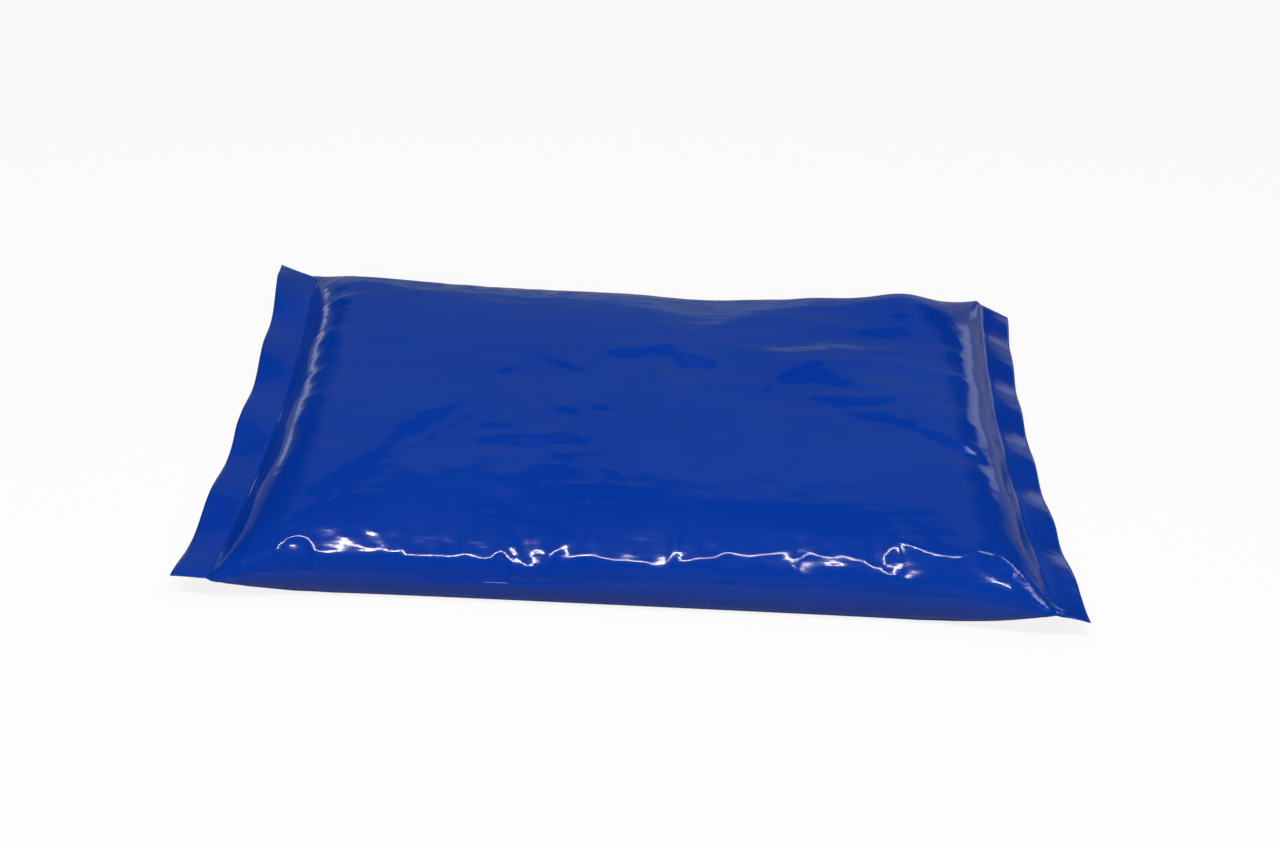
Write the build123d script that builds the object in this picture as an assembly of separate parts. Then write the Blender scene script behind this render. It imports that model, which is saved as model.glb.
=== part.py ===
from build123d import *
import math
import os

# A reusable gel ice pack: a lay-flat film tube, filled with gel, sealed across both ends, lying on a table.
# Millimetres. X runs along the tube from seal to seal, Y across it from front to back, and Z up.

# The pouch: the width of its film tube laid flat, its length from corner to corner, and its welds
film_width = 166.0
pack_length = 278.0
fin_thickness = 0.5
crease_thickness = 2.2
seal_width = 13.5

# The filled body
fill_height = 24.0
bulge_height = 7.0
front_waist = 4.3
back_waist = 10.4
waist_reach = 18.0
upper_roll = 14.5
lower_roll = 4.5
shoulder_reach = 11.0
heel_reach = 6.5
corner_lift = 8.0
corner_reach = 12.0
table_squash = 3.6

# The sealed fins: how high each end stands at its crease, and at its front and back corners
left_crease_height = 8.0
left_front_height = 7.5
left_back_height = 14.5
right_crease_height = 10.6
right_front_height = 7.8
right_back_height = 3.4
corner_trim = 1.2
fin_inset = 1.0
fin_root = 0.5
end_pull_in = 5.0

# The filled tube is narrower than its welded ends, so the weld gathers into waves
left_wave_pitch = 36.9
left_wave_size = 1.6
left_wave_phase = 1.3
right_wave_pitch = 27.9
right_wave_size = 1.0
right_wave_phase = 1.75
gather_reach = 15.0
crease_share = 0.25

# The gel lies unevenly: where it swells or dips, as (x, y, reach along x, reach along y, height)
swells = (
    (94.0, 62.0, 16.0, 16.0, 7.6),
    (66.0, 66.0, 12.0, 12.0, 2.5),
    (20.0, 62.0, 18.0, 16.0, -3.2),
    (-35.0, 62.0, 36.0, 18.0, -0.9),
    (-105.0, 62.0, 22.0, 18.0, 1.8),
    (60.0, 18.0, 19.0, 9.0, 0.8),
)

# Short pinches in the roll of the front edge, as (x, reach along x, depth)
pinches = (
    (-94.0, 9.0, 1.1),
    (-63.0, 9.0, 0.8),
    (-38.0, 9.0, 0.9),
    (5.0, 9.0, 1.0),
    (53.0, 9.0, 0.8),
    (80.0, 9.0, 1.0),
)
pinch_inset = 7.0
pinch_reach = 6.0

points_above = 25
points_below = 15
points_across = 49
stations_along = 25
fin_stations = 3

crease_x = pack_length / 2 - seal_width
crease_half = film_width / 2 - corner_trim
fin_half = crease_half - fin_inset


def rise(distance, reach):
    """A film wall's share of its full height, at a distance in from its fold: upright there, then levelling."""
    return math.sqrt(1 - math.exp(-max(distance, 0) / reach))


def edge_y(x, side):
    """Where one side's fold lies: the tube draws in between its seals, as its round sides use up film."""
    waist = back_waist if side > 0 else front_waist
    return side * (crease_half - waist * (1 - math.exp(-(crease_x - abs(x)) / waist_reach)))


def bowed(x, y):
    """The place along the tube after the ends are pulled in: most at the seals' middles, none at mid-length."""
    share = min(abs(x) / crease_x, 1) ** 3
    return x - math.copysign(end_pull_in, x) * share * (1 - (y / crease_half) ** 2)


def wave(x, y):
    """The gathers of the end that x is on, as a height at full size."""
    if x < 0:
        return left_wave_size * math.cos(2 * math.pi * y / left_wave_pitch + left_wave_phase)
    return right_wave_size * math.cos(2 * math.pi * y / right_wave_pitch + right_wave_phase)


def fin_middle(x, y):
    """The height of a fin's middle layer, which goes from the crease to the line of its two outer corners."""
    out = (abs(x) - crease_x) / seal_width
    back_share = (y / fin_half + 1) / 2
    if x < 0:
        crease, front, back = left_crease_height, left_front_height, left_back_height
    else:
        crease, front, back = right_crease_height, right_front_height, right_back_height
    corners = front + (back - front) * back_share
    return crease + (corners - crease) * out + wave(x, y) * (crease_share + (1 - crease_share) * out)


def body_middle(x, y):
    """The height of the sides' bulge, with the gathers dying away from the crease."""
    edge = math.copysign(crease_x, x)
    fade = math.exp(-(crease_x - abs(x)) / gather_reach)
    return bulge_height + (fin_middle(edge, y) - bulge_height) * fade


def unevenness(x, y, inside):
    """The sum of the gel's swells, dips and front pinches at a point."""
    total = 0.0
    for centre_x, centre_y, reach_x, reach_y, height in swells:
        total += height * math.exp(-(((x - centre_x) / reach_x) ** 2) - ((y - centre_y) / reach_y) ** 2)
    if y < 0:
        for centre_x, reach_x, depth in pinches:
            along = ((x - centre_x) / reach_x) ** 2
            total -= depth * math.exp(-along - ((inside - pinch_inset) / pinch_reach) ** 2)
    return total


def stations():
    """Places along the body, closer together near the creases, where the shape turns fastest."""
    even = [2 * number / (stations_along - 1) - 1 for number in range(stations_along)]
    return [crease_x * (0.6 * step + 0.4 * math.sin(math.pi / 2 * step)) for step in even]


def body_section(x):
    """The filled tube's outline at one station: its upper and its lower film, both from back to front."""
    filled = crease_x - abs(x)
    centre = (edge_y(x, 1) + edge_y(x, -1)) / 2
    half = (edge_y(x, 1) - edge_y(x, -1)) / 2
    shoulder = 1 - math.exp(-filled / shoulder_reach)

    def film_at(place, is_upper):
        """One point of the outline, at a share of the way from the back fold round to the front one."""
        y = centre + half * math.cos(math.pi * place)
        inside = half - abs(y - centre)
        film = crease_thickness / 2 * rise(inside, crease_thickness / 2)
        if is_upper:
            height = fill_height - bulge_height + unevenness(x, y, inside)
            gel = shoulder * height * rise(inside, upper_roll)
            return (bowed(x, y), y, body_middle(x, y) + film + gel)
        heel = 1 - math.exp(-filled / (heel_reach + corner_lift * math.exp(-inside / corner_reach)))
        gel = heel * (bulge_height + table_squash) * rise(inside, lower_roll)
        return (bowed(x, y), y, body_middle(x, y) - film - gel)

    upper = [film_at(number / (points_above - 1), True) for number in range(points_above)]
    lower = [film_at(number / (points_below - 1), False) for number in range(points_below)]
    return upper, lower


def fin_section(x):
    """The welded film's outline at one station: its upper and its lower face, both from back to front."""
    middle = fin_middle if abs(x) > crease_x else body_middle
    across = [fin_half * (1 - 2 * number / (points_across - 1)) for number in range(points_across)]
    upper = [(bowed(x, y), y, middle(x, y) + fin_thickness / 2) for y in across]
    lower = [(bowed(x, y), y, middle(x, y) - fin_thickness / 2) for y in across]
    return upper, lower


def curve(points):
    """A smooth curve through the points, with even parameters, so that all sections share their knots."""
    return Edge.make_spline(points, parameters=[number / (len(points) - 1) for number in range(len(points))])


def closed(upper, lower):
    """The closed wire of a section, with straight sides where its two films don't meet."""
    edges = [curve(upper), curve(lower[::-1])]
    if math.dist(upper[0], lower[0]) > 0.01:
        edges.insert(1, Edge.make_line(upper[-1], lower[-1]))
        edges.append(Edge.make_line(lower[0], upper[0]))
    return Wire(edges)


def lofted(sections):
    """A solid with smooth walls through the sections, and over each end a ruled face, bowed as the end is."""
    walls = Solid.make_loft([closed(upper, lower) for upper, lower in sections]).faces()
    outer = (sections[0], sections[-1])
    ends = [Face.make_surface_from_curves(curve(upper), curve(lower)) for upper, lower in outer]
    return Solid(Shell(list(walls) + ends))


def body():
    """The gel-filled length between the creases."""
    return lofted([body_section(x) for x in stations()])


def fin(end):
    """The two layers of film welded together beyond a crease, rooted just inside the body."""
    steps = [number / (fin_stations - 1) for number in range(fin_stations)]
    length = seal_width + fin_root
    return lofted([fin_section(end * (pack_length / 2 - length + length * step)) for step in steps])


def pouch():
    """The sealed pack, flattened underneath where it lies on the table."""
    pack = body() + fin(-1) + fin(1)
    return split(pack, bisect_by=Plane.XY, keep=Keep.TOP)


os.makedirs("parts", exist_ok=True)
export_step(pouch(), "parts/gel_pouch.step")
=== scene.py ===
# %% [markdown]
# # A reusable gel ice pack
# The real thing is a tube of glossy blue plastic film, filled with gel and welded flat across both ends.
# There is nothing else on it: no lid, no label and no joint. So there is one piece to make, and all of its
# looks come from how thin film lies over soft gel. It could be sculpted by hand, or swollen from a flat bag
# with Blender's Cloth. This lesson reads the pack's main form off its CAD solid instead, lays a net of film
# over that form, and lets the net settle with a little more length than it needs. That keeps the pack at its
# real size, and it lets us choose where the film has length to spare, which is where it creases.

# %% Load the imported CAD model
import math

import bpy
import numpy as np
from mathutils import Matrix, Vector
from mathutils.bvhtree import BVHTree


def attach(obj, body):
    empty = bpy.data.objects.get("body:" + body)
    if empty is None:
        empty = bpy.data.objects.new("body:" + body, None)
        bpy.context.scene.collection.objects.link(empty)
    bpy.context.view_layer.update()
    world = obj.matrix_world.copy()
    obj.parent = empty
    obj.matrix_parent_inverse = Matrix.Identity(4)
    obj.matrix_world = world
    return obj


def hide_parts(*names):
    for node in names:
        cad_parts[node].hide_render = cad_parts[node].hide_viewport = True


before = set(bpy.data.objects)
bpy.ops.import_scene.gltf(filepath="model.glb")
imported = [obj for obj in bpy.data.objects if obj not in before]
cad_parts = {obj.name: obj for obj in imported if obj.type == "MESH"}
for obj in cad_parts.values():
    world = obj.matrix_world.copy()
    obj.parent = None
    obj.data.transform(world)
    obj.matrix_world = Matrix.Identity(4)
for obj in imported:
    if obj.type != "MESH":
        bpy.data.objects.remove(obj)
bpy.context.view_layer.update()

# %% [markdown]
# ## The film's net of points
# On the real pack, the film is one sheet that goes all the way round. The solid's own triangles could be
# divided further, but they don't follow the film. So the film is handled as a net, with lines along the tube
# and lines round it, and a point about every 2 mm at first. Such a net can be measured and bent with plain
# arithmetic. Its lines round the tube bow inwards towards the ends, as the welds of the real pack do.

# %% The sizes of the film, in millimetres
FILM_LENGTH = 278.0
FILM_WIDTH = 166.0
SEAL_WIDTH = 13.5
CREASE_X = FILM_LENGTH / 2 - SEAL_WIDTH
CREASE_HALF = 81.8
END_PULL_IN = 5.0

# The pack as it lies, from tip to tip, and how far inside its tips the net's first and last lines are
PACK_LENGTH = 277.8
TIP_INSET = 0.06

STEPS_ALONG = 140
HALF_ROUND = 83
ROUND = 2 * HALF_ROUND
net_shape = (STEPS_ALONG + 1, ROUND)


def bowed(x, y):
    """The place along the pack after its ends are pulled in, most at their middles, as in the CAD model."""
    share = min(abs(x) / CREASE_X, 1) ** 3
    return x - math.copysign(END_PULL_IN, x) * share * (1 - (y / CREASE_HALF) ** 2)


print("The creases lie", CREASE_X, "mm out at the sides and", round(bowed(CREASE_X, 0), 1), "in the middle")

# %% Ask the CAD solid for its surface
PROBE_HEIGHT = 100.0
FOLD_SEARCH = (55.0, 84.0)
HALVINGS = 13

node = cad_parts["gel_pouch"]
corners = [tuple(v.co * 1000) for v in node.data.vertices]
solid = BVHTree.FromPolygons(corners, [tuple(p.vertices) for p in node.data.polygons])


def surface(x, y, up):
    """The height of the solid's top (up = 1) or underside (up = -1) at a place, or None beside it."""
    hit = solid.ray_cast(Vector((x, y, PROBE_HEIGHT * up)), Vector((0, 0, -up)))
    return None if hit[0] is None else hit[0].z


def fold_y(x, side):
    """How far out the solid reaches at a station, found by halving the gap between inside and outside."""
    inner, outer = FOLD_SEARCH
    for _ in range(HALVINGS):
        middle = (inner + outer) / 2
        if surface(bowed(x, side * middle), side * middle, 1) is None:
            outer = middle
        else:
            inner = middle
    return side * inner


print("At its middle the pack is", round(surface(0, 0, 1), 1), "mm thick and",
      round(fold_y(0, 1) - fold_y(0, -1), 1), "mm wide")

# %% Trace the solid at one station
OUTLINE_SAMPLES = 90
NUDGE = 0.02


def section(x):
    """The outline of the solid at one station: points on its top and on its underside, from front to back."""
    front, back = fold_y(x, -1), fold_y(x, 1)
    middle, half = (front + back) / 2, (back - front) / 2
    top, under = [], []
    for number in range(OUTLINE_SAMPLES + 1):
        y = middle - half * math.cos(math.pi * number / OUTLINE_SAMPLES)
        place = bowed(x, y)
        high, low = surface(place, y, 1), surface(place, y, -1)
        if high is None or low is None:
            y = middle - (half - NUDGE) * math.cos(math.pi * number / OUTLINE_SAMPLES)
            high, low = surface(place, y, 1), surface(place, y, -1)
        if high is None or low is None:
            continue
        top.append((place, y, high))
        under.append((place, y, max(low, 0.0)))
    return np.array(top), np.array(under)


def spaced(line, count):
    """The same line with its points moved to equal steps along it."""
    steps = np.sqrt((np.diff(line, axis=0) ** 2).sum(1))
    along = np.concatenate([[0.0], np.cumsum(steps)])
    wanted = np.linspace(0, along[-1], count + 1)
    return np.stack([np.interp(wanted, along, line[:, axis]) for axis in range(3)], axis=1)


print("The middle station's outline has", sum(len(side) for side in section(0.0)), "points")

# %% Lay the net over the solid
stations = np.linspace(-PACK_LENGTH / 2 + TIP_INSET, PACK_LENGTH / 2 - TIP_INSET, STEPS_ALONG + 1)
form = np.zeros((3, *net_shape))
for row, x in enumerate(stations):
    top, under = section(x)
    fold_front = (top[0] + under[0]) / 2
    fold_back = (top[-1] + under[-1]) / 2
    over = spaced(np.vstack([fold_front, top[1:-1], fold_back]), HALF_ROUND)
    below = spaced(np.vstack([fold_front, under[1:-1], fold_back]), HALF_ROUND)
    form[:, row, :HALF_ROUND + 1] = over.T
    form[:, row, HALF_ROUND + 1:] = below[HALF_ROUND - 1:0:-1].T
print("The net has", net_shape[0], "lines round the tube, with", ROUND, "points in each")

# %% [markdown]
# ## Where the film has more length than it needs
# A filled tube is round at its sides, so its long folds become shorter than the flat film was, and the film
# there buckles into short creases across the fold. Beside the welds the tube narrows, so the film gathers
# into pleats that run away from the weld. Each crease could be modelled by hand, but creases in film grow
# out of one another and look wrong when they don't. So the spare length that causes them is given instead,
# as a share of each edge of the net, with more of it where the real front edge has puckered. Perfectly even
# film would have nowhere to begin its creases, so it also starts a little unevenly.

# %% Distances on the film, in millimetres
STEP_ROUND = FILM_WIDTH / HALF_ROUND
lines = np.arange(ROUND)[None, :] + np.zeros(net_shape)
along_film = stations[:, None] + np.zeros(net_shape)
from_front = np.minimum(lines, ROUND - lines) * STEP_ROUND
from_back = np.abs(lines - HALF_ROUND) * STEP_ROUND
is_top = ((lines > 0) & (lines < HALF_ROUND)).astype(float)
filled = CREASE_X - np.abs(along_film)
print("The film measures", round(2 * float(from_front.max()), 1), "mm round, and its filled part is",
      round(2 * float(filled.max()), 1), "mm long")


# %% Which parts of the film are which
def hump(distance, reach):
    """A smooth bump, 1 at no distance and nearly 0 at twice the reach."""
    return np.exp(-((distance / reach) ** 2))


BODY_STARTS, BODY_SOFTNESS = 3.0, 1.5
FRONT_ROLL, FRONT_REACH = 15, 8
BACK_ROLL, BACK_REACH = 14, 10
body_share = 1 / (1 + np.exp(-(filled - BODY_STARTS) / BODY_SOFTNESS))
front_roll = hump(from_front - FRONT_ROLL, FRONT_REACH) * is_top
back_roll = hump(from_back - BACK_ROLL, BACK_REACH) * is_top
print("Body over", round(100 * float(body_share.mean())), "% of the film, and front roll over",
      round(100 * float((front_roll > 0.5).mean())), "%")


# %% Smooth chance, from a seeded generator
def grain(rng, shape, reach_along, reach_round):
    """Random heights with a spread of 1 that join up round the tube, smooth over the reaches, in points."""
    noise = np.fft.fft2(rng.standard_normal(shape))
    along = np.fft.fftfreq(shape[0])[:, None] * 2 * math.pi
    around = np.fft.fftfreq(shape[1])[None, :] * 2 * math.pi
    noise *= np.exp(-0.5 * ((along * reach_along) ** 2 + (around * reach_round) ** 2))
    smooth = np.real(np.fft.ifft2(noise))
    return smooth / smooth.std()


CREASE_SEED = 11
PATCH_MIDDLE, PATCH_SPREAD = 0.8, 0.5
PATCH_LEAST, PATCH_MOST = 0.05, 1.8

rng = np.random.default_rng(CREASE_SEED)
patchy = np.clip(PATCH_MIDDLE + PATCH_SPREAD * grain(rng, net_shape, 2.5, 3.0), PATCH_LEAST, PATCH_MOST)
print("The spare length is spread in patches, from", round(float(patchy.min()), 2), "to",
      round(float(patchy.max()), 2), "times its even share")

# %% Share out the spare length
# The puckers of the front roll, as (x, reach along x, share of PUCKER_SPARE)
PUCKERS = [
    (-110, 4, 0.9), (-98, 6, 0.1), (-65, 4, 0.5), (-34, 7, 0.8), (-21, 3, 0.7), (-4, 5, 0.5),
    (11, 5, 1.3), (33, 4, 0.4), (52, 5, 1.0), (64, 3, 0.4), (78, 5, 0.8), (96, 4, 0.3),
]
EVEN_SPARE = 0.002
FRONT_SPARE = 0.003
PUCKER_SPARE = 0.014
BACK_SPARE = 0.007
WELD_SPARE = 0.008
WELD_PLACE, WELD_REACH = 5, 12

gathered = sum(share * hump(along_film - place, reach) for place, reach, share in PUCKERS)
along_front = (FRONT_SPARE + PUCKER_SPARE * gathered) * front_roll * patchy
slack_along = (EVEN_SPARE + along_front + BACK_SPARE * back_roll * patchy) * body_share
slack_round = (EVEN_SPARE + WELD_SPARE * hump(filled - WELD_PLACE, WELD_REACH) * patchy) * body_share
print("Most spare length:", round(float(slack_along.max()), 4), "along,",
      round(float(slack_round.max()), 4), "round")

# %% Uneven starts for the creases
FINE_START, BROAD_START = 0.30, 0.20
START_ANYWHERE, START_BACK, START_WELD = 0.12, 0.5, 0.35
START_REACH = 16

start = FINE_START * grain(rng, net_shape, 1.4, 2.4) + BROAD_START * grain(rng, net_shape, 3.0, 4.0)
start_share = START_ANYWHERE + front_roll + START_BACK * back_roll + START_WELD * hump(filled, START_REACH)
start *= body_share * start_share
print("The film starts up to", round(float(np.abs(start).max()), 2), "mm off the solid")

# %% [markdown]
# ## Dents in the top
# The gel is soft, so handling leaves shallow dents. They are long, low steps where the film tilts a few
# degrees towards the front, and they show as darker patches, because the tilted film reflects the dark part
# of the room. Noise alone could make such patches, but not at the real pack's places. So each dent is given
# by the ends of its step, its width and its height, and chance only makes it ragged and uneven.

# %% How ragged the dents are
RAGGED_SEED = 12
RAGGED = 0.22
RAGGED_OFFSET = 9
FINE_WANDER = 0.5
STRENGTH_SPREAD, STRENGTH_LEAST, STRENGTH_MOST = 0.35, 0.3, 1.6

ragged_rng = np.random.default_rng(RAGGED_SEED)
wander = grain(ragged_rng, net_shape, 3.0, 2.5) + FINE_WANDER * grain(ragged_rng, net_shape, 1.5, 1.5)
strength = 1.0 + STRENGTH_SPREAD * grain(ragged_rng, net_shape, 3.5, 3.5)
strength = np.clip(strength, STRENGTH_LEAST, STRENGTH_MOST)
print("A dent's edge wanders by up to", round(RAGGED * float(np.abs(wander).max()), 2), "of its width")

# %% The height that one dent adds
# The dents, as (x and y of one end, x and y of the other, width, height)
DENTS = [
    (-52, 2, -39, 11, 2.6, 0.6), (-41, 17.5, -18, 7.5, 4.6, 1.1), (-15, 19.5, 4, 20.5, 4.6, 1.1),
    (1, 21, 10, 26, 3.2, 0.8), (8, 25, 26, 11.5, 5.4, 1.3), (36, 11, 78, 13, 8.0, 1.6),
    (50, 18.5, 63, 20, 5.0, 0.6), (55, 0.5, 89, 0.5, 5.0, 1.2), (62, -4, 90, -13, 6.5, 1.5),
    (84, -11, 115, -25, 6.0, 1.7), (-56, -19.5, -35, -24, 4.5, 1.0), (-31, -11.5, -20, -16, 3.6, 0.8),
    (-18, -10, -9, -11.5, 2.0, 0.4), (-55, -29, -11, -28, 4.4, 1.0), (-58, -45, -12, -43, 15.0, 1.6),
    (-101, -53, -54, -8, 6.0, 1.7),
]
END_TAPER = 0.75
STEEPNESS = 2.2
FADE_START, FADE_SHARE = 6, 1.2
LEAST_BOOST, MIDDLE_BOOST, BOOST_PER_MM = 1.15, 1.3, 0.010


def step_at(x, y, dent):
    """The height that one dent adds: a low, ragged step, fading out beyond its ends and its width."""
    x0, y0, x1, y1, width, height = dent
    length = math.hypot(x1 - x0, y1 - y0)
    across_x, across_y = -(y1 - y0) / length, (x1 - x0) / length
    along = ((x - x0) * (x1 - x0) + (y - y0) * (y1 - y0)) / length
    across = (x - x0) * across_x + (y - y0) * across_y + RAGGED * width * wander
    along = along + RAGGED * width * np.roll(wander, RAGGED_OFFSET, 0)
    middle = np.clip(1 - (2 * along / length - 1) ** 2, 0, None) ** END_TAPER
    height = height * max(LEAST_BOOST, MIDDLE_BOOST + BOOST_PER_MM * (y0 + y1))
    fade = np.exp(-np.abs(across) / (FADE_START + FADE_SHARE * width))
    return 0.5 * height * middle * np.tanh(STEEPNESS * across / width) * fade


print("There are", len(DENTS), "dents, the longest",
      round(max(math.hypot(x1 - x0, y1 - y0) for x0, y0, x1, y1, _, _ in DENTS)), "mm long")

# %% Press the dents into the form
# The broad hollow near the front left, as (x, y, reach along x, reach along y, depth)
HOLLOW = (-50, -64, 46, 24, 1.9)
LOWEST_DENT = 9
# The faint streaks along the tube come in patches, and are deepest at a distance from the welds
STREAK_DEPTH = 0.35
STREAK_PLACE, STREAK_REACH = 60, 50
STREAK_PATCH, STREAK_MOST = 0.5, 1.5

x, y, reach_x, reach_y, depth = HOLLOW
pressed = strength * sum(step_at(form[0], form[1], dent) for dent in DENTS)
pressed = pressed - depth * hump(form[0] - x, reach_x) * hump(form[1] - y, reach_y)
streaks = np.abs(grain(rng, net_shape, 6.0, 2.0))
streaks = streaks * np.clip(STREAK_PATCH + STREAK_PATCH * grain(rng, net_shape, 12, 10), 0, STREAK_MOST)
streaked = STREAK_DEPTH * streaks * hump(filled - STREAK_PLACE, STREAK_REACH)
form[2] += (pressed - streaked) * is_top * (form[2] > LOWEST_DENT)
print("The dents move the film from", round(float(pressed.min()), 2), "to",
      round(float(pressed.max()), 2), "mm")

# %% [markdown]
# ## Letting the film settle
# The real film bends easily but hardly stretches, and the gel pushes back where it is pressed in. Blender's
# Cloth could do this too. A small solver of our own is used, because here every edge of the net is given its
# own length, and that brings the creases where the real ones are. The net also resists bending, and the gel
# holds it near the solid's surface. Moving the points a little towards each wish in turn, a few hundred
# times, lets the spare length gather into the sharp ridges and flat facets that thin film makes.

# %% Measure the net
# A length too small to matter, which keeps a division safe
TINY = 1e-9


def outward(film):
    """The film's normals, pointing out of the gel."""
    along = np.empty_like(film)
    along[:, 1:-1] = 0.5 * (film[:, 2:] - film[:, :-2])
    along[:, 0] = film[:, 1] - film[:, 0]
    along[:, -1] = film[:, -1] - film[:, -2]
    around = 0.5 * (np.roll(film, -1, 2) - np.roll(film, 1, 2))
    normal = np.cross(along, around, axis=0)
    return normal / np.maximum(np.sqrt((normal ** 2).sum(0)), TINY)


def lengths(film):
    """The lengths of the net's edges: along the tube, round it, and on both diagonals."""
    def size(gap):
        return np.sqrt((gap ** 2).sum(0))
    ahead = film[:, 1:]
    behind = film[:, :-1]
    return (size(ahead - behind), size(np.roll(film, -1, 2) - film),
            size(np.roll(ahead, -1, 2) - behind), size(np.roll(ahead, 1, 2) - behind))


print("The net's edges are about", round(float(np.median(lengths(form)[0])), 2), "mm long")


# %% The film's rules
def keep_lengths(first, second, rest, give):
    """How far two sets of points move so that their distances come nearer to their rest lengths."""
    gap = second - first
    length = np.sqrt((gap ** 2).sum(0)) + TINY
    stretch = length - rest
    gap *= 0.5 * np.where(stretch > 0, 1.0, give) * stretch / length
    return gap


def smoothed(film, share):
    """Spreads each point's move away from the form over its neighbours, as stiff film does."""
    change = np.zeros_like(film)
    lag = share[1:-1] * (0.5 * (film[:, :-2] + film[:, 2:]) - film[:, 1:-1])
    change[:, 1:-1] += 0.5 * lag
    change[:, :-2] -= 0.25 * lag
    change[:, 2:] -= 0.25 * lag
    lag = share * (0.5 * (np.roll(film, 1, 2) + np.roll(film, -1, 2)) - film)
    return change + 0.5 * lag - 0.25 * np.roll(lag, 1, 2) - 0.25 * np.roll(lag, -1, 2)


def weld(film, form, welded):
    """Moves the two layers of each weld together, so that the fins stay closed."""
    half = film.shape[2] // 2
    away = film - form
    shared = 0.5 * (away[:, welded, 1:half] + away[:, welded, :half:-1])
    film[:, welded, 1:half] = form[:, welded, 1:half] + shared
    film[:, welded, :half:-1] = form[:, welded, :half:-1] + shared


print("The welds hold", int((np.abs(along_film[:, 0]) > CREASE_X).sum()), "lines of the net closed")

# %% One run of the film
GLIDE = 0.85
SIDE_HOLD = 0.15
DIAGONAL_GIVE = 0.3
WELD_MARGIN = 2


def settle(film, form, spare_along, spare_round, hold, stiffness, rounds):
    """Lets the film settle over its form, and returns it."""
    rest_along, rest_round, rest_left, rest_right = lengths(form)
    rest_along = rest_along * (1 + 0.5 * (spare_along[1:] + spare_along[:-1]))
    rest_round = rest_round * (1 + spare_round)
    spare_both = 0.25 * (spare_along + spare_round)
    rest_left = rest_left * (1 + spare_both[1:] + spare_both[:-1])
    rest_right = rest_right * (1 + spare_both[1:] + spare_both[:-1])
    normal = outward(form)
    before = film.copy()
    count = film.shape[2]
    welded = np.abs(film[0].mean(1)) > CREASE_X - WELD_MARGIN
    for _ in range(rounds):
        moved = film + GLIDE * (film - before)
        before = film
        away = moved - form
        film = moved - hold * normal * (away * normal).sum(0) - SIDE_HOLD * hold * away
        for first_row in (0, 1):
            low, high = film[:, first_row:-1:2], film[:, first_row + 1::2]
            shift = keep_lengths(low, high, rest_along[first_row::2], 1.0)
            film[:, first_row:-1:2] += shift
            film[:, first_row + 1::2] -= shift
        for first_line in (0, 1):
            nexts = (np.arange(first_line, count, 2) + 1) % count
            rest = rest_round[:, first_line::2]
            shift = keep_lengths(film[:, :, first_line::2], film[:, :, nexts], rest, 1.0)
            film[:, :, first_line::2] += shift
            film[:, :, nexts] -= shift
        for turned, rest in ((-1, rest_left), (1, rest_right)):
            for first_row in (0, 1):
                low = film[:, first_row:-1:2]
                high = np.roll(film[:, first_row + 1::2], turned, 2)
                shift = 0.5 * keep_lengths(low, high, rest[first_row::2], DIAGONAL_GIVE)
                film[:, first_row:-1:2] += shift
                film[:, first_row + 1::2] -= np.roll(shift, -turned, 2)
        film = film + smoothed(film - form, stiffness)
        weld(film, form, welded)
        film[2] = np.maximum(film[2], 0.0)
    return film


print("Each round keeps", round(100 * GLIDE), "% of every point's last move")

# %% Settle the coarse net
BODY_HOLD, FIN_HOLD, TABLE_HOLD = 0.0010, 0.4, 0.05
BODY_STIFFNESS, FIN_STIFFNESS = 0.03, 0.2
TABLE_REACH = 2.0
coarse_rounds, fine_rounds = ((600, 400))


def furthest(film, form):
    """The longest way that a point has moved off its form."""
    return round(float(np.sqrt(((film - form) ** 2).sum(0)).max()), 2)


hold = BODY_HOLD + FIN_HOLD * (1 - body_share) + TABLE_HOLD * (form[2] < TABLE_REACH)
stiffness = BODY_STIFFNESS + FIN_STIFFNESS * (1 - body_share)
film = settle(form + start * outward(form), form, slack_along, slack_round, hold, stiffness, coarse_rounds)
print("Coarse net: moved up to", furthest(film, form), "mm")
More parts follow.
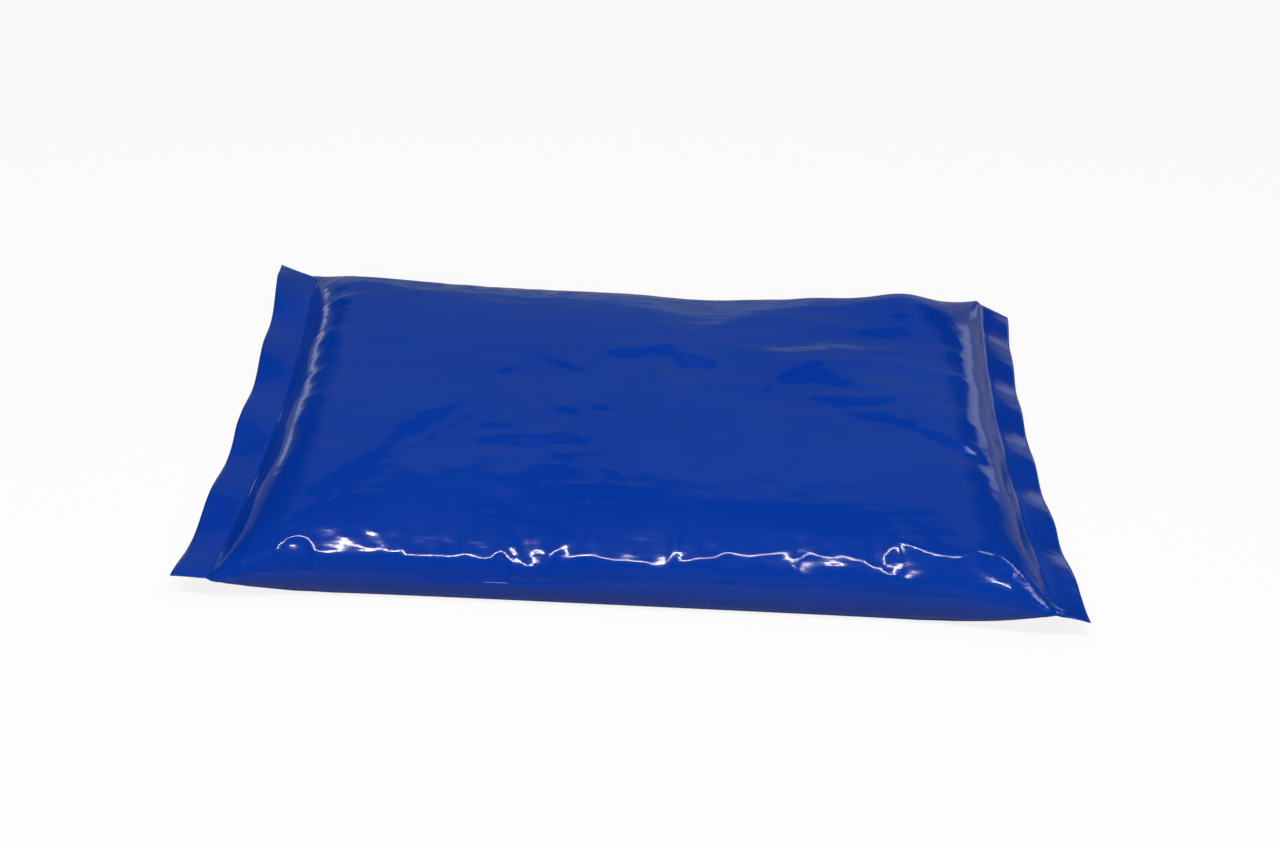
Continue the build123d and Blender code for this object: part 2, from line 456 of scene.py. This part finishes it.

# %% [markdown]
# ## Sharp folds along the front edge
# Where thin film is pushed together, it makes sharp folds a millimetre or two wide. They are what glitters on
# the real pack's front edge: one long, wandering ridge with hooks, and one round dimple. A settling net finds
# such folds, but in places of its own. A bump in the material could draw them, but it would be missing from
# the mesh. So the folds are added to the form of the finer net, as small tents along given paths, and the
# film then settles over them.

# %% The folds, in millimetres
# Each fold is its height and the (x, y) places that it passes
FOLDS = [
    (0.25, [(-100, -71.5), (-95, -74), (-87, -75.5), (-71, -73), (-59, -73)]),
    (0.35, [(-69, -72), (-67.5, -76)]),
    (0.30, [(-59, -73), (-50, -72.5), (-42, -73)]),
    (0.50, [(-42, -72.5), (-39.5, -70), (-35.5, -74.5), (-31.5, -77)]),
    (0.40, [(-36, -68.5), (-33.5, -73), (-31.5, -75)]),
    (0.35, [(-26.5, -75), (-24.5, -71.5), (-21.5, -69)]),
    (0.25, [(-18, -72), (-12, -71.5), (-4, -73), (4, -73)]),
    (0.50, [(4, -73), (7, -75), (10.5, -74.5), (12.5, -70), (12.5, -64)]),
    (0.30, [(14, -73), (18, -72), (28, -70), (35.5, -70.5), (47.5, -68), (54, -66.5)]),
    (0.40, [(47.5, -68), (47, -71.5), (49.5, -75)]),
    (0.35, [(49, -70.5), (53, -68.5), (57.5, -69.5), (67, -69.5), (74, -72)]),
    (0.50, [(74, -72), (76.5, -67), (79, -64.5), (81, -64)]),
    (0.45, [(79, -65), (79.5, -73)]),
    (0.35, [(75, -73), (83, -75)]),
    (0.55, [(81, -64.5), (90.5, -67.5), (96.5, -68.5), (102, -66), (109.5, -65.5)]),
    (0.70, [(109.5, -65.5), (116, -69.5), (122, -74), (128.5, -80)]),
    (0.30, [(114, -69.5), (113, -76), (115, -79.5)]),
    (0.22, [(-95, -54), (-73, -33), (-52, -14)]),
    (0.25, [(-92, -58), (-88, -49), (-78, -41), (-61, -47), (-53, -57), (-34, -62), (-14, -59), (-12, -45)]),
    (0.20, [(-59, -35), (-34, -35.5), (-12, -32)]),
    (0.25, [(-10, -39), (-6, -41), (0, -49), (-6, -47)]),
    (0.35, [(-117, -76.5), (-117, -80)]),
    (0.30, [(-112.5, -78.5), (-108.5, -76.5)]),
]
FOLD_WIDTH = 1.0
LOWEST_FOLD = 6

# The wider ridge near the front right corner
BROAD_RIDGE = [(80, -65), (90, -67), (102, -66.5)]
BROAD_HEIGHT, BROAD_WIDTH = 1.1, 4.5

# The round dimple near the front left corner, as (x, y, reach, depth), and its raised rim
DIMPLE = (-100.5, -75.0, 5.0, 0.5)
RIM_PLACE, RIM_WIDTH, RIM_SHARE = 1.1, 0.2, 0.8

# The small crumples between the folds, where the film has most spare length
CRUMPLE_DEPTH = 0.15
CRUMPLES_FROM = 0.6
print("There are", len(FOLDS), "small folds, up to", max(height for height, _ in FOLDS), "mm high")


# %% A net twice as fine
def finer(net):
    """The same net with a point halfway along each edge, on a smooth curve through its neighbours."""
    rows, count = net.shape[-2:]
    tall = np.empty(net.shape[:-2] + (2 * rows - 1, count))
    tall[..., ::2, :] = net
    between = 0.5 * (net[..., 1:, :] + net[..., :-1, :])
    inner_pair = net[..., 1:-2, :] + net[..., 2:-1, :]
    between[..., 1:-1, :] = (9 * inner_pair - net[..., :-3, :] - net[..., 3:, :]) / 16
    tall[..., 1::2, :] = between
    wide = np.empty(net.shape[:-2] + (2 * rows - 1, 2 * count))
    wide[..., ::2] = tall
    near = tall + np.roll(tall, -1, -1)
    far = np.roll(tall, 1, -1) + np.roll(tall, -2, -1)
    wide[..., 1::2] = (9 * near - far) / 16
    return wide


fine_form = finer(form)
print("The finer net has", fine_form.shape[1], "x", fine_form.shape[2], "points")


# %% Add the folds to the finer net
def off_path(x, y, path):
    """The distance of places from a path of straight stretches."""
    nearest = np.full(x.shape, np.inf)
    for (x0, y0), (x1, y1) in zip(path[:-1], path[1:]):
        share = ((x - x0) * (x1 - x0) + (y - y0) * (y1 - y0)) / ((x1 - x0) ** 2 + (y1 - y0) ** 2)
        share = np.clip(share, 0, 1)
        nearest = np.minimum(nearest, np.hypot(x - x0 - share * (x1 - x0), y - y0 - share * (y1 - y0)))
    return nearest


def dimpled(net):
    """The round dimple and its rim."""
    x, y, reach, depth = DIMPLE
    away = np.hypot(net[0] - x, net[1] - y) / reach
    return depth * (RIM_SHARE * np.exp(-(((away - RIM_PLACE) / RIM_WIDTH) ** 2)) - np.exp(-(away ** 4)))


def sharpened(net):
    """How far the folds, the dimple and the small crumples of the front roll move the film outwards."""
    total = np.zeros(net.shape[1:])
    for height, path in FOLDS:
        total = np.maximum(total, height * np.exp(-off_path(net[0], net[1], path) / FOLD_WIDTH))
    total += BROAD_HEIGHT * np.exp(-(off_path(net[0], net[1], BROAD_RIDGE) / BROAD_WIDTH) ** 2)
    total += dimpled(net)
    where = finer(front_roll * np.clip(patchy - CRUMPLES_FROM, 0, 1))
    crumpled = np.abs(grain(rng, total.shape, 2.2, 1.6)) * where
    return (total - CRUMPLE_DEPTH * crumpled) * (net[2] > LOWEST_FOLD)


raised = sharpened(fine_form)
fine_form += raised * outward(fine_form)
print("The folds raise the film by up to", round(float(raised.max()), 2), "mm")

# %% Settle the finer net
FINE_HOLD = 0.4
FINE_STIFFNESS, MOST_STIFFNESS = 2.0, 0.5
CALMING_ROUNDS = 6


def calmed(moved):
    """The film's moves with their small zigzags taken out of the fins, which are welded stiff."""
    calm = 1 - finer(body_share)
    for _ in range(CALMING_ROUNDS):
        even = moved.copy()
        even[:, 1:-1] = 0.5 * moved[:, 1:-1] + 0.25 * (moved[:, 2:] + moved[:, :-2])
        even = 0.5 * even + 0.25 * (np.roll(even, 1, 2) + np.roll(even, -1, 2))
        moved = moved + calm * (even - moved)
    return moved


fine_stiffness = np.minimum(FINE_STIFFNESS * finer(stiffness), MOST_STIFFNESS)
film = settle(finer(film), fine_form, finer(slack_along), finer(slack_round), FINE_HOLD * finer(hold),
              fine_stiffness, fine_rounds)
film = fine_form + calmed(film - fine_form)
film[2] = np.maximum(film[2], 0.0)
print("Fine net: moved up to", furthest(film, fine_form), "mm")

# %% [markdown]
# ## The film as a mesh
# The net is already in rows and lines, so its squares are written straight into a mesh as faces, with no
# remesh that would blunt the folds. At each end, the two layers meet in a narrow strip, which is the cut edge
# of the weld, so the film is closed. The mesh keeps the film's own flat measurements as its UV map, and how
# sharply it is bent as a value at each point, so that marks can follow the film.

# %% Build the mesh
rows, count = film.shape[1:]
half = count // 2


def at(row, line):
    """The index of a point of the net."""
    return row * count + line % count


faces = [(at(row, line), at(row + 1, line), at(row + 1, line + 1), at(row, line + 1))
         for row in range(rows - 1) for line in range(count)]
walls = len(faces)
for row in (0, rows - 1):
    for line in range(half):
        ring = (at(row, line), at(row, line + 1), at(row, count - line - 1), at(row, count - line))
        ring = tuple(dict.fromkeys(ring))
        faces.append(ring if row == 0 else ring[::-1])
mesh = bpy.data.meshes.new("gel_pack_film")
mesh.from_pydata((film.reshape(3, -1).T / 1000).tolist(), [], faces)
mesh.update()
mesh.polygons.foreach_set("use_smooth", [True] * len(faces))
gel_pack = bpy.data.objects.new("gel_pack", mesh)
bpy.context.scene.collection.objects.link(gel_pack)
print("The film has", len(mesh.polygons), "faces, of which", len(faces) - walls, "close its ends")

# %% Keep the film's flat places as its UV map, in metres
uv = mesh.uv_layers.new(name="film")
flat_u = np.linspace(0, FILM_LENGTH / 1000, rows)
flat_v = np.arange(count + 1) * (2 * FILM_WIDTH / 1000) / count
places = []
for row in range(rows - 1):
    for line in range(count):
        places += [(flat_u[row], flat_v[line]), (flat_u[row + 1], flat_v[line]),
                   (flat_u[row + 1], flat_v[line + 1]), (flat_u[row], flat_v[line + 1])]
for face in faces[walls:]:
    places += [(flat_u[corner // count], flat_v[corner % count]) for corner in face]
uv.data.foreach_set("uv", np.array(places, np.float32).ravel())
print("Flat, the film is", round(float(flat_u[-1]), 3), "m long and", round(float(flat_v[-1]), 3), "m round")

# %% Keep how sharply the film is bent
SHARPEST_BEND = 0.35

moved = film - fine_form
bend = np.roll(moved, 1, 2) + np.roll(moved, -1, 2) - 2 * moved
bend[:, 1:-1] += moved[:, 2:] + moved[:, :-2] - 2 * moved[:, 1:-1]
sharp = np.clip(np.sqrt((bend ** 2).sum(0)) / SHARPEST_BEND, 0, 1)
crease = mesh.attributes.new("crease", "FLOAT", "POINT")
crease.data.foreach_set("value", sharp.astype(np.float32).ravel())
print("Sharply creased:", round(100 * float((sharp > 0.5).mean()), 2), "% of the film")

# %% [markdown]
# ## The finish
# The film is blue all through and glossy, over gel of the same blue. What the eye catches is how unevenly it
# reflects: handling leaves fine waves in it, longer along the tube than round it, the welded ends are a
# little duller, and the colour is drawn paler where the film is sharply bent. A picture of film could give
# this, but it would carry its own light and shadow with it. A node group works the marks out instead, from
# the piece's own coordinates, its UV map and the sharpness that the last cell stored at each point.

# %% Start the group that works out the film's marks
marks = bpy.data.node_groups.new("film_marks", "ShaderNodeTree")
marks.interface.new_socket("Crease", in_out="INPUT", socket_type="NodeSocketFloat")
marks.interface.new_socket("Colour", in_out="OUTPUT", socket_type="NodeSocketColor")
marks.interface.new_socket("Roughness", in_out="OUTPUT", socket_type="NodeSocketFloat")
marks.interface.new_socket("Height", in_out="OUTPUT", socket_type="NodeSocketFloat")
given = marks.nodes.new("NodeGroupInput")
made = marks.nodes.new("NodeGroupOutput")
place = marks.nodes.new("ShaderNodeTexCoord").outputs["Object"]
print("The group film_marks has the sockets", [socket.name for socket in marks.interface.items_tree])


# %% Where the welds are, from the UV map, in metres
def feed(tree, socket, value):
    """Sets a socket to a number, or links another node's output to it."""
    if isinstance(value, (int, float)):
        socket.default_value = value
    else:
        tree.links.new(value, socket)


def maths(tree, kind, first, second):
    """One step of arithmetic on two values."""
    node = tree.nodes.new("ShaderNodeMath")
    node.operation = kind
    feed(tree, node.inputs[0], first)
    feed(tree, node.inputs[1], second)
    return node.outputs[0]


def ramp(tree, value, start, end, low=0.0, high=1.0):
    """A soft change from low to high as the value goes from start to end."""
    node = tree.nodes.new("ShaderNodeMapRange")
    node.interpolation_type = "SMOOTHSTEP"
    for name, number in zip(("From Min", "From Max", "To Min", "To Max"), (start, end, low, high)):
        feed(tree, node.inputs[name], number)
    feed(tree, node.inputs["Value"], value)
    return node.outputs[0]


WELD_FROM, WELD_FULL = 0.1250, 0.1258

flat = marks.nodes.new("ShaderNodeUVMap")
flat.uv_map = "film"
flat_parts = marks.nodes.new("ShaderNodeSeparateXYZ")
marks.links.new(flat.outputs[0], flat_parts.inputs[0])
past_middle = maths(marks, "SUBTRACT", flat_parts.outputs["X"], FILM_LENGTH / 2 / 1000)
from_middle = maths(marks, "ABSOLUTE", past_middle, 0.0)
weld_mask = ramp(marks, from_middle, WELD_FROM, WELD_FULL)
print("The welds' duller film starts", round(1000 * WELD_FROM), "mm from the middle")


# %% How high the film's small waves stand
def speckle(tree, place, stretch, detail):
    """Noise from -0.5 to 0.5, with its own scale on each axis."""
    mapping = tree.nodes.new("ShaderNodeMapping")
    mapping.inputs["Scale"].default_value = stretch
    tree.links.new(place, mapping.inputs["Vector"])
    noise = tree.nodes.new("ShaderNodeTexNoise")
    noise.inputs["Scale"].default_value = 1.0
    noise.inputs["Detail"].default_value = detail
    tree.links.new(mapping.outputs[0], noise.inputs["Vector"])
    return maths(tree, "SUBTRACT", noise.outputs["Fac"], 0.5)


WAVES, RIPPLES = (38.0, 130.0, 130.0), (150.0, 420.0, 420.0)
GRIT, MOTTLE = (900.0, 900.0, 900.0), (22.0, 30.0, 30.0)
WAVE_HEIGHT, RIPPLE_HEIGHT, GRIT_HEIGHT = 0.40, 0.055, 0.002
CALM_FROM, CALM_FULL, CALM_SHARE = 0.105, 0.120, 0.25

waves = speckle(marks, place, WAVES, 2.0)
waves = maths(marks, "MULTIPLY", waves, ramp(marks, from_middle, CALM_FROM, CALM_FULL, 1.0, CALM_SHARE))
ripples = speckle(marks, place, RIPPLES, 2.0)
grit = speckle(marks, place, GRIT, 1.0)
mottle = speckle(marks, place, MOTTLE, 3.0)
ripples = maths(marks, "MULTIPLY", ripples, RIPPLE_HEIGHT)
height = maths(marks, "ADD", maths(marks, "MULTIPLY", waves, WAVE_HEIGHT), ripples)
height = maths(marks, "ADD", height, maths(marks, "MULTIPLY", grit, GRIT_HEIGHT))
marks.links.new(height, made.inputs["Height"])
print("The waves repeat about every", round(1000 / WAVES[0]), "mm along the tube, and every",
      round(1000 / WAVES[1]), "mm round it")

# %% How dull and how pale the film is
FILM_BLUE = (0.0012, 0.032, 0.30, 1)
CREASED_BLUE = (0.012, 0.075, 0.42, 1)
DULLNESS, MOTTLE_DULLNESS, WELD_DULLNESS, CREASE_DULLNESS = 0.125, 0.06, 0.05, 0.05
CREASE_PALENESS, MOTTLE_PALENESS = 0.30, 0.12
MOTTLE_FROM, MOTTLE_FULL = -0.2, 0.3

creased = given.outputs["Crease"]
rough = maths(marks, "ADD", maths(marks, "MULTIPLY", mottle, MOTTLE_DULLNESS), DULLNESS)
rough = maths(marks, "ADD", rough, maths(marks, "MULTIPLY", weld_mask, WELD_DULLNESS))
rough = maths(marks, "ADD", rough, maths(marks, "MULTIPLY", creased, CREASE_DULLNESS))
marks.links.new(rough, made.inputs["Roughness"])
worn = ramp(marks, mottle, MOTTLE_FROM, MOTTLE_FULL, 0, MOTTLE_PALENESS)
pale = maths(marks, "ADD", maths(marks, "MULTIPLY", creased, CREASE_PALENESS), worn)
tint = marks.nodes.new("ShaderNodeMix")
tint.data_type = "RGBA"
tint.inputs["A"].default_value = FILM_BLUE
tint.inputs["B"].default_value = CREASED_BLUE
marks.links.new(pale, tint.inputs["Factor"])
marks.links.new(tint.outputs["Result"], made.inputs["Colour"])
print("The group film_marks has", len(marks.nodes), "nodes")

# %% Make the film's material
FILM_IOR = 1.46
MARKS_DEPTH = 0.001

film_blue = bpy.data.materials.new("glossy_blue_film")
film_blue.use_nodes = True
tree = film_blue.node_tree
shader = tree.nodes["Principled BSDF"]
shader.inputs["IOR"].default_value = FILM_IOR
stored = tree.nodes.new("ShaderNodeAttribute")
stored.attribute_name = "crease"
group = tree.nodes.new("ShaderNodeGroup")
group.node_tree = marks
bump = tree.nodes.new("ShaderNodeBump")
bump.inputs["Distance"].default_value = MARKS_DEPTH
tree.links.new(stored.outputs["Fac"], group.inputs["Crease"])
tree.links.new(group.outputs["Colour"], shader.inputs["Base Color"])
tree.links.new(group.outputs["Roughness"], shader.inputs["Roughness"])
tree.links.new(group.outputs["Height"], bump.inputs["Height"])
tree.links.new(bump.outputs["Normal"], shader.inputs["Normal"])
mesh.materials.append(film_blue)
print("The piece's materials:", [material.name for material in mesh.materials])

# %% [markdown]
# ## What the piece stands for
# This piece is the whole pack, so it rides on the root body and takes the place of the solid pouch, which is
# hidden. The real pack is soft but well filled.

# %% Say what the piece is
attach(gel_pack, "root")
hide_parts("gel_pouch")
print("The piece", gel_pack.name, "has", len(mesh.vertices), "points")

# %% [markdown]
# ## The floor
# The real pack lies on a surface that is lost in a white background. A floor lit until it is white would
# throw too much light on the glossy film. So this one glows white for the camera alone, is darker in
# reflections, and still takes the pack's shadow.

# %% Lay the floor
FLOOR_REACH = 6

floor_corners = [(-FLOOR_REACH, -FLOOR_REACH, 0), (FLOOR_REACH, -FLOOR_REACH, 0),
                 (FLOOR_REACH, FLOOR_REACH, 0), (-FLOOR_REACH, FLOOR_REACH, 0)]
floor_mesh = bpy.data.meshes.new("pale_floor")
floor_mesh.from_pydata(floor_corners, [], [(0, 1, 2, 3)])
floor = bpy.data.objects.new("pale_floor", floor_mesh)
bpy.context.scene.collection.objects.link(floor)
print("The floor is", 2 * FLOOR_REACH, "m across")

# %% Make the floor pale
FLOOR_SEEN = 0.85
FLOOR_IN_REFLECTIONS = 0.3
FLOOR_GLOW = 0.85
FLOOR_ROUGHNESS = 0.9

floor_white = bpy.data.materials.new("pale_floor")
floor_white.use_nodes = True
tree = floor_white.node_tree
matt = tree.nodes["Principled BSDF"]
matt.inputs["Roughness"].default_value = FLOOR_ROUGHNESS
glow = tree.nodes.new("ShaderNodeEmission")
seen = tree.nodes.new("ShaderNodeMixShader")
straight = tree.nodes.new("ShaderNodeLightPath").outputs["Is Camera Ray"]
tree.links.new(ramp(tree, straight, 0, 1, FLOOR_IN_REFLECTIONS, FLOOR_SEEN), matt.inputs["Base Color"])
tree.links.new(maths(tree, "MULTIPLY", straight, FLOOR_GLOW), seen.inputs[0])
tree.links.new(matt.outputs[0], seen.inputs[1])
tree.links.new(glow.outputs[0], seen.inputs[2])
tree.links.new(seen.outputs[0], tree.nodes["Material Output"].inputs["Surface"])
floor_mesh.materials.append(floor_white)
print("To the camera, the floor is", round(100 * FLOOR_GLOW), "% glow, and the rest is matt")

# %% [markdown]
# ## The room
# Glossy film shows the room that it stands in. The flat top of the real pack mirrors something pale behind
# it, and the film that tilts forward mirrors the darkness above that. A wall could be built there, but it
# would stand in the way of a camera behind the pack. So the room is painted into the world by direction: a
# pale wall behind the pack, with an upper edge and two sides, a paler strip near the horizon, and hardly any
# light elsewhere.

# %% Paint the room
ROOM_GLOW = 0.005
BEHIND_FROM, BEHIND_FULL = -0.2, 0.15
WALL_LIGHT = 0.20
WALL_TOP, WALL_BELOW = 0.805, 0.775
WALL_RIGHT, WALL_RIGHT_FULL = 0.54, 0.40
WALL_LEFT, WALL_LEFT_FULL = -0.56, -0.42
HORIZON_LIGHT = 0.22
HORIZON_TOP, HORIZON_BELOW = 0.25, 0.06

world = bpy.data.worlds.new("studio")
bpy.context.scene.world = world
world.use_nodes = True
tree = world.node_tree
compass = tree.nodes.new("ShaderNodeTexCoord")
toward = tree.nodes.new("ShaderNodeSeparateXYZ")
tree.links.new(compass.outputs["Generated"], toward.inputs[0])
east, north, height = (toward.outputs[axis] for axis in "XYZ")
behind = ramp(tree, north, BEHIND_FROM, BEHIND_FULL)
wall = ramp(tree, height, WALL_TOP, WALL_BELOW, 0.0, WALL_LIGHT)
wall = maths(tree, "MULTIPLY", wall, ramp(tree, east, WALL_RIGHT, WALL_RIGHT_FULL))
wall = maths(tree, "MULTIPLY", wall, ramp(tree, east, WALL_LEFT, WALL_LEFT_FULL))
horizon = ramp(tree, height, HORIZON_TOP, HORIZON_BELOW, 0.0, HORIZON_LIGHT)
bright = maths(tree, "MULTIPLY", maths(tree, "ADD", wall, horizon), behind)
bright = maths(tree, "ADD", bright, ROOM_GLOW)
print("The wall's upper edge is", round(math.degrees(math.asin(WALL_TOP))), "degrees above the floor")

# %% Tint the room, and show white to the camera
ROOM_TINT = (0.80, 1.08, 1.02)

tinted = tree.nodes.new("ShaderNodeCombineColor")
for channel, share in zip(("Red", "Green", "Blue"), ROOM_TINT):
    tree.links.new(maths(tree, "MULTIPLY", bright, share), tinted.inputs[channel])
tree.links.new(tinted.outputs[0], tree.nodes["Background"].inputs["Color"])
white = tree.nodes.new("ShaderNodeBackground")
white.inputs["Color"].default_value = (1, 1, 1, 1)
seen = tree.nodes.new("ShaderNodeMixShader")
tree.links.new(tree.nodes.new("ShaderNodeLightPath").outputs["Is Camera Ray"], seen.inputs[0])
tree.links.new(tree.nodes["Background"].outputs[0], seen.inputs[1])
tree.links.new(white.outputs[0], seen.inputs[2])
tree.links.new(seen.outputs[0], tree.nodes["World Output"].inputs["Surface"])
print("The room has", len(tree.nodes), "nodes")

# %% [markdown]
# ## The lamps
# The bright line along the real pack's front edge is a long, narrow light, mirrored in the folds, so the key
# lamp is a thin strip, high up and a little in front. A large soft lamp would turn those lines into patches.
# Two fill lamps light the blue itself and are hidden from reflections. Two small windows low behind the ends
# give the pale streaks beside the welds, and one more small lamp catches the front right corner.

# %% Hang the lamps
PACK_MIDDLE = (0, 0, 0.01)


def lamp(name, place, size, power, glossy=True, size_y=None):
    """A soft lamp that looks at the middle of the pack: a square, or a strip where size_y is given."""
    data = bpy.data.lights.new(name, "AREA")
    data.size = size
    data.energy = power
    if size_y:
        data.shape = "RECTANGLE"
        data.size_y = size_y
    held = bpy.data.objects.new(name, data)
    bpy.context.scene.collection.objects.link(held)
    held.location = place
    held.rotation_euler = (Vector(PACK_MIDDLE) - Vector(place)).to_track_quat("-Z", "Y").to_euler()
    held.visible_glossy = glossy
    return held


lamps = [
    lamp("key", (-0.02, -0.36, 1.25), 1.1, 11, size_y=0.04),
    lamp("fill", (-0.3, -0.2, 1.5), 1.5, 7.8, glossy=False),
    lamp("front_fill", (0.0, -1.3, 0.45), 0.9, 7.5, glossy=False),
    lamp("right_window", (0.395, 0.35, 0.055), 0.10, 0.028, size_y=0.12),
    lamp("left_window", (-0.438, 0.39, 0.03), 0.10, 0.021, size_y=0.05),
    lamp("ear_light", (0.74, 0.23, 0.745), 0.20, 0.75),
]
print("The lamps:", {held.name: round(held.data.energy, 3) for held in lamps}, "watts")

# %% [markdown]
# ## The camera
# The photograph looks down on the pack's front edge from about 40 degrees, a little tilted. A camera could be
# turned by eye, but the pack's own corners tell more: a camera was fitted to them first, and its angles,
# distance and focal length are written here.

# %% Place the camera
CAMERA_YAW, CAMERA_PITCH, CAMERA_ROLL = 0.17, 39.47, 2.58
CAMERA_DISTANCE = 0.52297
LOOKS_AT = (0.17, 0.48, 10)
FOCAL_PIXELS = 1543
PHOTO_WIDTH = 1280
SENSOR_WIDTH = 36

yaw, pitch, roll = (math.radians(angle) for angle in (CAMERA_YAW, CAMERA_PITCH, CAMERA_ROLL))
right = Vector((math.cos(yaw), math.sin(yaw), 0))
forward = Vector((-math.sin(yaw) * math.cos(pitch), math.cos(yaw) * math.cos(pitch), -math.sin(pitch)))
up = right.cross(forward)
turned_right = math.cos(roll) * right + math.sin(roll) * up
turned_up = -math.sin(roll) * right + math.cos(roll) * up
camera_data = bpy.data.cameras.new("camera")
camera_data.sensor_width = SENSOR_WIDTH
camera_data.lens = FOCAL_PIXELS / PHOTO_WIDTH * SENSOR_WIDTH
camera = bpy.data.objects.new("camera", camera_data)
bpy.context.scene.collection.objects.link(camera)
stand = Matrix((turned_right, turned_up, -forward)).transposed().to_4x4()
stand.translation = Vector(LOOKS_AT) / 1000 - forward * CAMERA_DISTANCE
camera.matrix_world = stand
bpy.context.scene.camera = camera
bpy.context.scene.view_settings.view_transform = "Standard"
print("The camera stands at", [round(v, 3) for v in stand.translation], "m")
